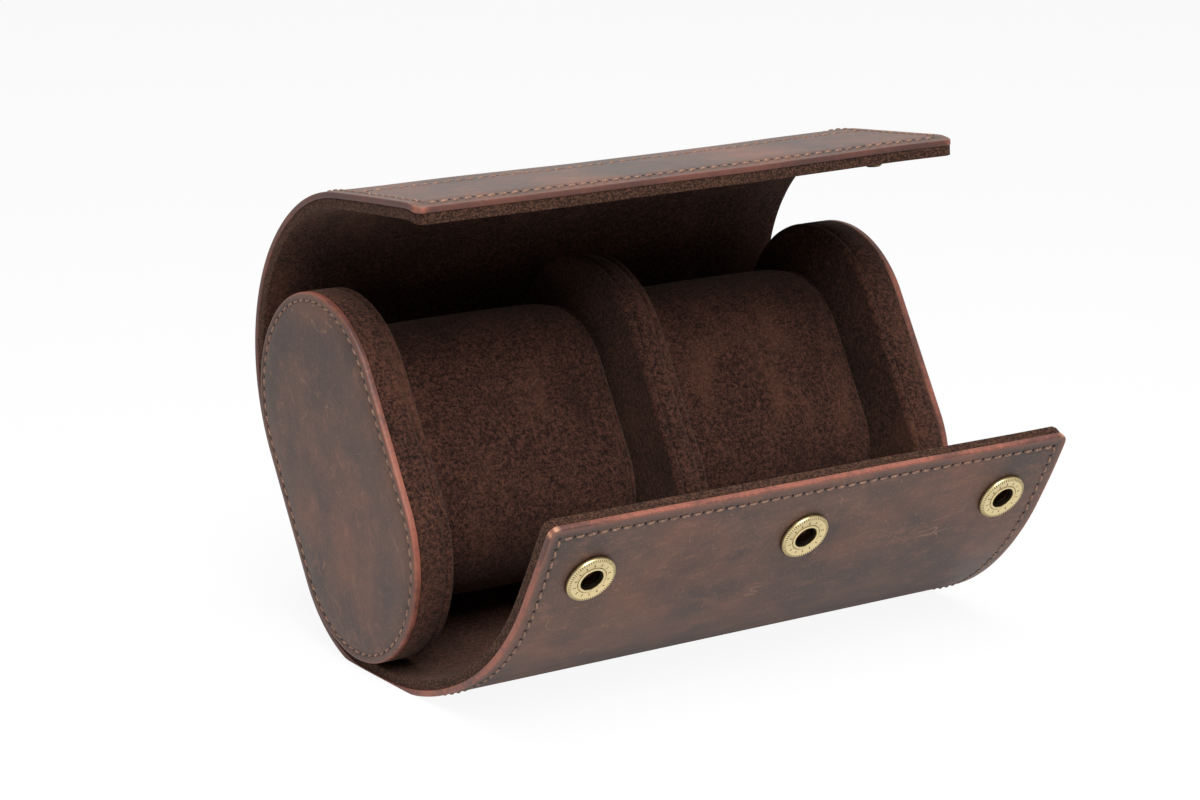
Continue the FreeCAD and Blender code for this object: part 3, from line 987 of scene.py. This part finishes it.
def make_layer(layer, strip, depth, thickness, trim, edge_round, material):
    """One layer, leather or lining, of one strip of the wrap."""
    name, branch, begin, finish, joint = strip[:5]
    has_tip = finish == branch.length
    end = finish - trim if has_tip else finish
    marks = row_marks(begin, end, has_tip)
    piece = draw_sheet(f"wrap_{layer}_{name}", branch, marks, depth, trim)
    if has_tip:
        round_tip(piece, branch, depth, trim)
    thicken(piece, branch, begin, finish, has_tip, thickness, edge_round)
    if name == "front" and layer == "leather":
        bore_holes(piece)
    note_place(piece)
    note_rim(piece, branch, trim, EDGE_WEAR[name])
    make_uneven(piece, branch)
    lean_in(piece)
    stand_flat(piece)
    dress(piece, material)
    bend_with_wrap(piece, strip)
    for body in (JOINTS[joint]["parent"], JOINTS[joint]["child"]):
        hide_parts(f"{'spine' if body == 'case' else body}_{layer}")
    return piece


for strip in STRIPS:
    outside = make_layer("leather", strip, 0.0, HIDE, 0.0, HIDE_ROUND, leather)
    rest = LEATHER + LINING - HIDE
    inside = make_layer("lining", strip, HIDE, rest, LINING_TRIM, LINING_ROUND, suede)
    print(strip[0], "faces:", len(outside.data.polygons), len(inside.data.polygons))

# %% [markdown]
# ## Saddle stitches
#
# The wrap is sewn round its whole edge. One stitch is a plump bit of thread that dives into a slit at each
# end. It is modelled once and copied along the seam, a little askew, as slanted pricking irons leave it.
# The same seam shows on the suede inside, where the thread sinks into the nap.

# %% One stitch
STITCH_PITCH = 3.1
STITCH_LENGTH = 2.5
STITCH_SIZE = (STITCH_LENGTH / 2, 0.36, 0.34)
STITCH_SLANT = math.radians(9)
DIVE_FROM = 0.9
DIVE = 0.22
SLIT_SIZE = (0.26, 0.44, 1)
SLIT_LIFT = 0.03
SLIT_DEPTH = 0.2

let_go()
bpy.ops.mesh.primitive_uv_sphere_add(segments=8, ring_count=6, radius=1, rotation=(0, math.pi / 2, 0))
bpy.ops.object.transform_apply(rotation=True)
stitch = take_up("stitch")
take_all()
bpy.ops.transform.resize(value=STITCH_SIZE)
pick(stitch, lambda spot: abs(spot.x) > DIVE_FROM)
bpy.ops.transform.translate(value=(0, 0, -DIVE))
put_down()
stitch.data.materials.append(thread)
# Each slit is a small dark block at the stitch's end: painted shade for the needle hole
bpy.ops.mesh.primitive_circle_add(
    vertices=8, radius=1, fill_type="NGON", location=(STITCH_PITCH / 2, 0, SLIT_LIFT),
)
slit = take_up("slit")
take_all()
bpy.ops.transform.resize(value=SLIT_SIZE)
bpy.ops.mesh.extrude_region_move(TRANSFORM_OT_translate={"value": (0, 0, -SLIT_DEPTH)})
put_down()
slit.data.materials.append(needle_hole_shade)
settle(slit)
join_up((stitch, slit), "stitch")
reopen(stitch)
take_all()
bpy.ops.mesh.normals_make_consistent(inside=False)
put_down()
bpy.ops.object.shade_smooth()
print("one stitch:", len(stitch.data.polygons), "faces")

# %% Seams of the wrap
SECOND_ROW = 33.0
THREAD_SUNK = 0.35
FOOT_CLEAR = 0.5


def stitch_turn(spot, along, up):
    """Where one stitch goes: its length along the seam, its back up from the surface."""
    along = along.normalized()
    across = up.cross(along).normalized()
    turn = Matrix((along, across, along.cross(across))).transposed().to_4x4()
    return Matrix.Translation(spot) @ turn @ Matrix.Rotation(STITCH_SLANT, 4, "Z")


def sew(name, turns, unit):
    """Copy a unit, such as a stitch, to every place of a row and join the copies into one piece."""
    copies = [copy_of(unit) for turn in turns]
    for copy, turn in zip(copies, turns):
        copy.matrix_world = turn
    row = join_up(copies, name)
    settle(row)
    print(name, "copies:", len(copies))
    return row


def wrap_turns(strip, depth, up_sign):
    """Places of the stitches on one strip: both sides, the tip, and a row across the top flap."""
    name, branch, begin, finish = strip[:4]
    turns = []
    last = branch.length - SEAM_MARGIN
    for index in range(int(branch.length / STITCH_PITCH)):
        mark = (index + 0.5) * STITCH_PITCH
        if begin <= mark < min(finish, last - STITCH_PITCH / 3):
            along, inward = branch.axes(mark)[1:]
            if (TO_FRAME @ branch.spot(mark, depth)).z < FOOT_CLEAR * MM:
                continue
            for side in (-1, 1):
                half = branch.half_width(mark) - SEAM_MARGIN
                next_half = branch.half_width(mark + 1) - SEAM_MARGIN
                spot = branch.spot(mark, depth) + Vector((side * half, 0, 0))
                way = along + Vector((side * (next_half - half), 0, 0))
                turns.append(stitch_turn(spot, way, inward * up_sign))
    rows = [last] if finish == branch.length else []
    if name == "top":
        rows.append(branch.length - SECOND_ROW)
    for mark in rows:
        inward = branch.axes(mark)[2]
        half = branch.half_width(mark) - SEAM_MARGIN
        count = int(2 * half / STITCH_PITCH)
        for index in range(count):
            x = (index - (count - 1) / 2) * STITCH_PITCH
            spot = branch.spot(mark, depth) + Vector((x, 0, 0))
            turns.append(stitch_turn(spot, Vector((1, 0, 0)), inward * up_sign))
    return turns


for strip in STRIPS:
    branch = strip[1]
    for side, depth, up_sign in (("outer", 0.0, -1), ("inner", LEATHER + LINING - THREAD_SUNK, 1)):
        seam = sew(f"seam_{side}_{strip[0]}", wrap_turns(strip, depth, up_sign), stitch)
        note_place(seam)
        make_uneven(seam, branch)
        lean_in(seam)
        bend_with_wrap(seam, strip)

# %% [markdown]
# ## Fuzz on the raw edge
#
# The lining's edge is cut raw, and its fibres stand out in small tufts. One tuft is a thin cone. It is copied
# along the edge at uneven steps, each turned and tilted by chance.

# %% Tufts along the lining's edge
TUFT_STEP = 0.55
TUFT_LENGTH = 0.9
TUFT_RADIUS = 0.26
TUFT_POINT = 0.02
TUFT_SUNK = 0.2
TUFT_DEPTHS = (HIDE + 0.3, LEATHER + LINING - 0.5)
TUFT_SCALES = (0.5, 1.1)
SIDE_STEPS = (0.6, 1.4)
TIP_STEPS = (0.5, 1.2)
TUFT_TILT = 55.0
chance = random.Random(7)

let_go()
bpy.ops.mesh.primitive_cone_add(
    vertices=4, radius1=TUFT_RADIUS, radius2=TUFT_POINT, depth=TUFT_LENGTH, end_fill_type="NOTHING",
)
tuft = take_up("tuft")
take_all()
bpy.ops.transform.translate(value=(0, 0, TUFT_LENGTH / 4))
put_down()


def tuft_turn(spot, outward):
    """One tuft at a spot, pointing roughly outward."""
    tilt_x, tilt_y = (math.radians(chance.uniform(-TUFT_TILT, TUFT_TILT)) for axis in range(2))
    tilt = Matrix.Rotation(tilt_x, 4, "X") @ Matrix.Rotation(tilt_y, 4, "Y")
    facing = outward.to_track_quat("Z", "Y").to_matrix().to_4x4()
    return Matrix.Translation(spot) @ facing @ tilt @ Matrix.Scale(chance.uniform(*TUFT_SCALES), 4)


def fuzz_turns(strip):
    """Places of the tufts on both sides of a strip and along its tip."""
    branch, begin, finish = strip[1:4]
    turns = []
    mark = begin
    while mark < finish - CORNER_ROUND:
        for side in (-1, 1):
            depth = chance.uniform(*TUFT_DEPTHS)
            x = side * (branch.half_width(mark) - LINING_TRIM - TUFT_SUNK)
            turns.append(tuft_turn(branch.spot(mark, depth) + Vector((x, 0, 0)), Vector((side, 0, 0))))
        mark += TUFT_STEP * chance.uniform(*SIDE_STEPS)
    if finish == branch.length:
        tip = branch.length - LINING_TRIM - TUFT_SUNK
        x = CORNER_ROUND - branch.half_width(tip)
        while x < branch.half_width(tip) - CORNER_ROUND:
            depth = chance.uniform(*TUFT_DEPTHS)
            turns.append(tuft_turn(branch.spot(tip, depth) + Vector((x, 0, 0)), branch.axes(tip)[1]))
            x += TUFT_STEP * chance.uniform(*TIP_STEPS)
    return turns


for strip in STRIPS:
    fuzz = sew(f"fuzz_{strip[0]}", fuzz_turns(strip), tuft)
    note_place(fuzz)
    note_number(fuzz, "rim", np.zeros(len(fuzz.data.vertices)))
    make_uneven(fuzz, strip[1])
    lean_in(fuzz)
    dress(fuzz, suede, 180.0)
    bend_with_wrap(fuzz, strip)

# %% [markdown]
# ## Turning the oval pieces
#
# End faces, walls, pillows and snaps are all round or oval. Each is turned like a bowl on a lathe: a circle
# is extruded from one (height, radius) pair of its profile to the next and scaled as it goes. To make an
# oval, the two halves of the turned piece are then pulled apart, which keeps every rounding true.

# %% A lathe
WELD = 0.001


def turn(name, profile, sides=96, ring=False, open_end=False):
    """Turn a profile of (height, radius) pairs about Z, capped at its ends or closed into a ring."""
    height, radius = profile[0]
    let_go()
    bpy.ops.mesh.primitive_circle_add(
        vertices=sides, radius=radius, location=(0, 0, height), rotation=(0, 0, math.pi / sides),
        fill_type="NOTHING" if ring else "NGON",
    )
    bpy.ops.object.transform_apply(location=True, rotation=True)
    piece = take_up(name)
    take_all()
    for next_height, next_radius in (*profile[1:], *profile[:ring]):
        bpy.ops.mesh.extrude_edges_move(TRANSFORM_OT_translate={"value": (0, 0, next_height - height)})
        scale = next_radius / radius
        bpy.ops.transform.resize(value=(scale, scale, 1), center_override=(0, 0, 0))
        height, radius = next_height, next_radius
    if not ring and not open_end:
        bpy.ops.mesh.edge_face_add()
    take_all()
    bpy.ops.mesh.remove_doubles(threshold=WELD)
    bpy.ops.mesh.normals_make_consistent(inside=False)
    put_down()
    print(name, "turned, faces:", len(piece.data.polygons))
    return piece


def pull_oval(piece, straight):
    """Pull the halves of a turned piece apart along Y into an oval."""
    reopen(piece)
    for side in (-1, 1):
        pick(piece, lambda spot: side * spot.y > 0)
        bpy.ops.transform.translate(value=(0, side * straight, 0))
    put_down()


def oval_rim(piece, radius, straight):
    """Distance of each corner of a bench piece from an oval outline."""
    rows = corners_of(piece)
    beyond = np.maximum(np.abs(rows[:, 2]) - straight, 0.0)
    return radius - np.hypot(rows[:, 1], beyond)


# The lathe's Z lies along the case and its Y stands up
ALONG_CASE = Matrix(((0, 0, 1, 0), (1, 0, 0, 0), (0, 1, 0, 0), (0, 0, 0, 1)))
ENDS = (("right", Matrix.Identity(4)), ("left", Matrix.Rotation(math.pi, 4, "Z")))

# %% [markdown]
# ## End faces
#
# Each end wears an oval of the same leather. Its edge is rounded and burnished, the seam sinks a shallow
# channel round it, and inside the seam the leather swells a little over the board.

# %% Oval end faces
END_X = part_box("right_end_leather")[1].x / MM
END_PROFILE = (
    (0.0, 27.4), (0.0, 28.35), (0.3, 28.7), (1.2, 28.75), (1.65, 28.62), (1.9, 28.35), (2.0, 27.9),
    (1.92, 27.45), (1.76, 27.05), (1.7, 26.75), (1.78, 26.4), (1.94, 25.9), (2.1, 24.6), (2.2, 21.0),
    (2.26, 15.0), (2.3, 8.0), (2.3, 2.0),
)
END_SEAM = 2.0
END_SEAM_HEIGHT = 1.72
END_WEAR = 0.8


def oval_turns(radius, straight, x, up):
    """Places of stitches round an oval that stands at an X."""
    round_length = math.pi * radius
    total = 2 * round_length + 4 * straight
    count = round(total / STITCH_PITCH)
    turns = []
    for index in range(count):
        mark = index * total / count
        side = 1 if mark < total / 2 else -1
        mark -= 0 if side == 1 else total / 2
        if mark < 2 * straight:
            spot = Vector((x, side * radius, side * (mark - straight)))
            way = Vector((0, 0, side))
        else:
            angle = (mark - 2 * straight) / radius
            spot = Vector((x, side * radius * math.cos(angle), side * (straight + radius * math.sin(angle))))
            way = Vector((0, -side * math.sin(angle), side * math.cos(angle)))
        turns.append(stitch_turn(spot, way, up))
    return turns


for end, matrix in ENDS:
    side = 1 if end == "right" else -1
    face = turn(f"{end}_end_face", END_PROFILE)
    pull_oval(face, WALL_STRAIGHT)
    settle(face, matrix @ Matrix.Translation((END_X - LEATHER, 0, 0)) @ ALONG_CASE)
    note_place(face)
    rim = oval_rim(face, WALL_RADIUS, WALL_STRAIGHT) * SEAM_MARGIN / END_SEAM
    note_number(face, "rim", np.clip(rim, 0.0, None))
    note_number(face, "worn", np.full(len(rim), END_WEAR))
    lean_in(face)
    dress(face, leather)
    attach(face, "case")
    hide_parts(f"{end}_end_leather")
    seam_x = side * (END_X - LEATHER + END_SEAM_HEIGHT)
    up = Vector((side, 0, 0))
    turns = oval_turns(WALL_RADIUS - END_SEAM, WALL_STRAIGHT, seam_x, up)
    seam = sew(f"seam_{end}_end", turns, stitch)
    note_place(seam)
    lean_in(seam)
    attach(seam, "case")

# %% [markdown]
# ## Walls
#
# The walls are boards in suede. A band goes round the rim and is sewn to the facing along its inner edge, so
# there is a narrow channel and then a soft raised lip. The end walls show one such lip, the divider two.

# %% Suede covers of the walls
END_INNER_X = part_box("right_end_facing")[0].x / MM
WALL_BACK_X = END_X - LEATHER
COVER = 1.1
NO_RAW_EDGE = 50.0
BACK_ROUND = (0.3, 0.25)
# Heights are measured from the wall's inner face outwards along the rim
LIP = (
    (0.12, 26.6), (0.0, 27.5), (0.25, 28.2), (0.7, 28.62), (1.2, 28.75), (1.7, 28.65), (1.95, 28.15),
    (2.15, 28.0), (2.35, 28.4), (3.2, 28.75),
)
FACING = ((0.2, 2.0), (0.2, 12.0), (0.2, 22.0), (0.16, 25.4))


def suede_piece(piece, nodes, body):
    """Finish a suede piece that has no raw edge, and let it ride on a body."""
    note_place(piece)
    note_number(piece, "rim", np.full(len(piece.data.vertices), NO_RAW_EDGE))
    lean_in(piece)
    dress(piece, suede, 60.0)
    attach(piece, body)
    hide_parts(*nodes)


def make_cover(name, profile, matrix, nodes, open_end):
    """Turn a suede cover, give it its thickness inwards and set it on its wall."""
    cover = turn(name, profile, open_end=open_end)
    pull_oval(cover, WALL_STRAIGHT)
    use(cover, "SOLIDIFY", thickness=COVER, offset=-1.0, use_even_offset=False)
    settle(cover, matrix @ ALONG_CASE)
    suede_piece(cover, nodes, "case")


for end, matrix in ENDS:
    thickness = WALL_BACK_X - END_INNER_X
    inset, drop = BACK_ROUND
    profile = (*FACING, *LIP, (thickness - inset, WALL_RADIUS), (thickness, WALL_RADIUS - drop))
    nodes = (f"{end}_end_band", f"{end}_end_facing")
    make_cover(f"{end}_wall_cover", profile, matrix @ Matrix.Translation((END_INNER_X, 0, 0)), nodes, True)

divider_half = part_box("divider_band")[1].x / MM
half_profile = FACING + LIP
other_half = tuple((2 * divider_half - height, radius) for height, radius in reversed(half_profile))
nodes = ("divider_band", "divider_left_facing", "divider_right_facing")
shift = Matrix.Translation((-divider_half, 0, 0))
make_cover("divider_cover", half_profile + other_half, shift, nodes, False)

# %% [markdown]
# ## Pillows
#
# A pillow is a suede sleeve with an end panel sewn in at each end, stuffed until it swells. It starts
# slightly too small, a cloth simulation blows it up, and no corner may travel further than the bay has room
# for. The seam between sleeve and panels comes afterwards as a thin sewn welt. The second pillow is a copy.

# %% A slack cushion
PILLOW_CENTRE = (3.5, 1.8)
PILLOW_RADIUS = 22.0
PILLOW_STRAIGHT = 13.0
sleeve_low, sleeve_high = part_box("right_pillow_sleeve")
PILLOW_HALF = (sleeve_high.x - sleeve_low.x) / 2 / MM
PILLOW_X = (sleeve_high.x + sleeve_low.x) / 2 / MM
# Distance from the pillow's end, and how far the section is drawn in there
PILLOW_CROWN = (
    (0.6, 14.0), (0.3, 8.0), (0.8, 4.6), (2.2, 2.6), (4.5, 1.6), (9.0, 1.0), (16.0, 0.8), (24.0, 0.7),
)
PILLOW_SIDES = 64
VOXEL = 3.0

half_profile = [(-PILLOW_HALF + inset, PILLOW_RADIUS - drawn) for inset, drawn in PILLOW_CROWN]
whole_profile = half_profile + [(-height, radius) for height, radius in reversed(half_profile)]
pillow = turn("pillow_cushion", whole_profile, sides=PILLOW_SIDES)
pull_oval(pillow, PILLOW_STRAIGHT)
use(pillow, "REMESH", mode="VOXEL", voxel_size=VOXEL)
settle(pillow, Matrix.Translation((PILLOW_X, *PILLOW_CENTRE)) @ ALONG_CASE)

# %% Swelling the cushion
SWELL_PRESSURE = 4.0
SWELL_FRAMES = 20
SWELL_LIMIT = 0.9
TINY = 1e-9


def swell(piece):
    """Blow a cushion up as cloth, in metres, and keep every corner near where it started."""
    slack = corners_of(piece)
    settle(piece, Matrix.Scale(MM, 4))
    cloth = piece.modifiers.new("cloth", "CLOTH")
    cloth.settings.use_pressure = True
    cloth.settings.uniform_pressure_force = SWELL_PRESSURE
    cloth.settings.effector_weights.gravity = 0.0
    for number in range(1, SWELL_FRAMES + 1):
        bpy.context.scene.frame_set(number)
    hold(piece)
    bpy.ops.object.modifier_apply(modifier="cloth")
    bpy.context.scene.frame_set(1)
    moved = corners_of(piece) / MM - slack
    far = np.linalg.norm(moved, axis=1, keepdims=True)
    held = moved * np.minimum(1.0, SWELL_LIMIT / np.maximum(far, TINY))
    move_corners(piece, slack + held)
    print("pillow swelled by up to", round(float(far.max()), 2), "mm, kept to", SWELL_LIMIT)


swell(pillow)
use(pillow, "SUBSURF", levels=1, render_levels=1)

# %% Welts and the second pillow
WELT_RADIUS = 0.5
WELT_INSET = 2.0
WELT_SIDES = 96


def lay_welt(name, cushion, x):
    """A thin sewn cord round a pillow, laid on the cushion near one end."""
    let_go()
    bpy.ops.mesh.primitive_circle_add(vertices=WELT_SIDES, radius=PILLOW_RADIUS)
    cord = take_up(name)
    put_down()
    pull_oval(cord, PILLOW_STRAIGHT)
    settle(cord, Matrix.Translation((x, *PILLOW_CENTRE)) @ ALONG_CASE)
    use(cord, "SHRINKWRAP", target=cushion, wrap_method="NEAREST_SURFACEPOINT")
    bpy.ops.object.convert(target="CURVE")
    cord.data.bevel_depth = WELT_RADIUS
    cord.data.bevel_resolution = 1
    bpy.ops.object.convert(target="MESH")
    return cord


for side, name in ((1, "right"), (-1, "left")):
    if side == 1:
        cushion = copy_of(pillow)
    else:
        cushion = pillow
        settle(cushion, Matrix.Translation((-2 * PILLOW_X, 0, 0)))
    cushion.name = f"{name}_pillow_cushion"
    nodes = [f"{name}_pillow_{part}" for part in ("sleeve", "foam", "ends")]
    reach = PILLOW_HALF - WELT_INSET
    for end, way in (("right", 1), ("left", -1)):
        welt = lay_welt(f"{name}_pillow_{end}_welt", cushion, side * PILLOW_X + way * reach)
        suede_piece(welt, (), f"{name}_pillow")
    suede_piece(cushion, nodes, f"{name}_pillow")

# %% [markdown]
# ## Snap sockets
#
# Each snap socket is a pressed cup of antique brass: a rolled rim with a fine knurl, a flat face with a ring
# of ticks, a channel, and a raised lip round the hole. The ticks are plain.

# %% Snap sockets
SOCKET_PROFILE = (
    (0.0, 4.75), (0.0, 6.05), (0.3, 6.25), (1.0, 6.25), (1.35, 6.15), (1.58, 5.95), (1.68, 5.7),
    (1.66, 5.45), (1.56, 5.3), (1.52, 5.1), (1.52, 3.85), (1.45, 3.7), (1.45, 3.6), (1.64, 3.45),
    (1.72, 3.25), (1.66, 3.05), (1.35, 2.85), (0.9, 2.5), (0.7, 2.35), (0.4, 2.35), (0.4, 4.75),
)
SOCKET_SIDES = 128
CHANNEL_RADIUS = 3.65
CHANNEL_DARK = 0.7
CHANNEL_RANGE = (0.05, 0.25)
FACE_RANGE = (0.4, 1.4)
HOLE_RANGE = (2.85, 3.1)
KNURL_RADIUS = 5.75
KNURL_DEPTH = 0.14
KNURL_HALF_WIDTH = 0.32
KNURL_ABOVE = 1.5


def make_socket(name, x):
    """One socket on the bench, with its own place and its recesses noted for the brass."""
    piece = turn(name, SOCKET_PROFILE, sides=SOCKET_SIDES, ring=True)
    rows = corners_of(piece)
    radii = np.hypot(rows[:, 0], rows[:, 1])
    columns = np.floor(np.arctan2(rows[:, 1], rows[:, 0]) / math.tau * SOCKET_SIDES).astype(int)
    on_rim = (np.abs(radii - KNURL_RADIUS) < KNURL_HALF_WIDTH) & (rows[:, 2] > KNURL_ABOVE)
    rows[on_rim & (columns % 2 == 0), 2] -= KNURL_DEPTH
    move_corners(piece, rows)
    channel = CHANNEL_DARK * (1.0 - smooth_step(np.abs(radii - CHANNEL_RADIUS), *CHANNEL_RANGE))
    low = 1.0 - smooth_step(rows[:, 2], *FACE_RANGE)
    hole = 1.0 - smooth_step(radii, *HOLE_RANGE)
    note_place(piece)
    note_number(piece, "recess", np.maximum(np.maximum(channel, low), hole))
    settle(piece, socket_place(x))
    return piece


sockets = [make_socket(f"socket_{index}", x) for index, x in enumerate(SNAP_PLACES)]
snaps = join_up(sockets, "snap_cups")
lean_in(snaps)
dress(snaps, brass, 50.0)
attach(snaps, "front_flap")
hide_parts("snap_sockets")

# %% [markdown]
# ## Putting away and the view
#
# The single stitch and the single tuft were only patterns to copy, so they are put away.

# %% Putting away and the view
for helper in (stitch, tuft):
    bpy.data.objects.remove(helper)
bpy.context.scene.view_settings.view_transform = "Standard"
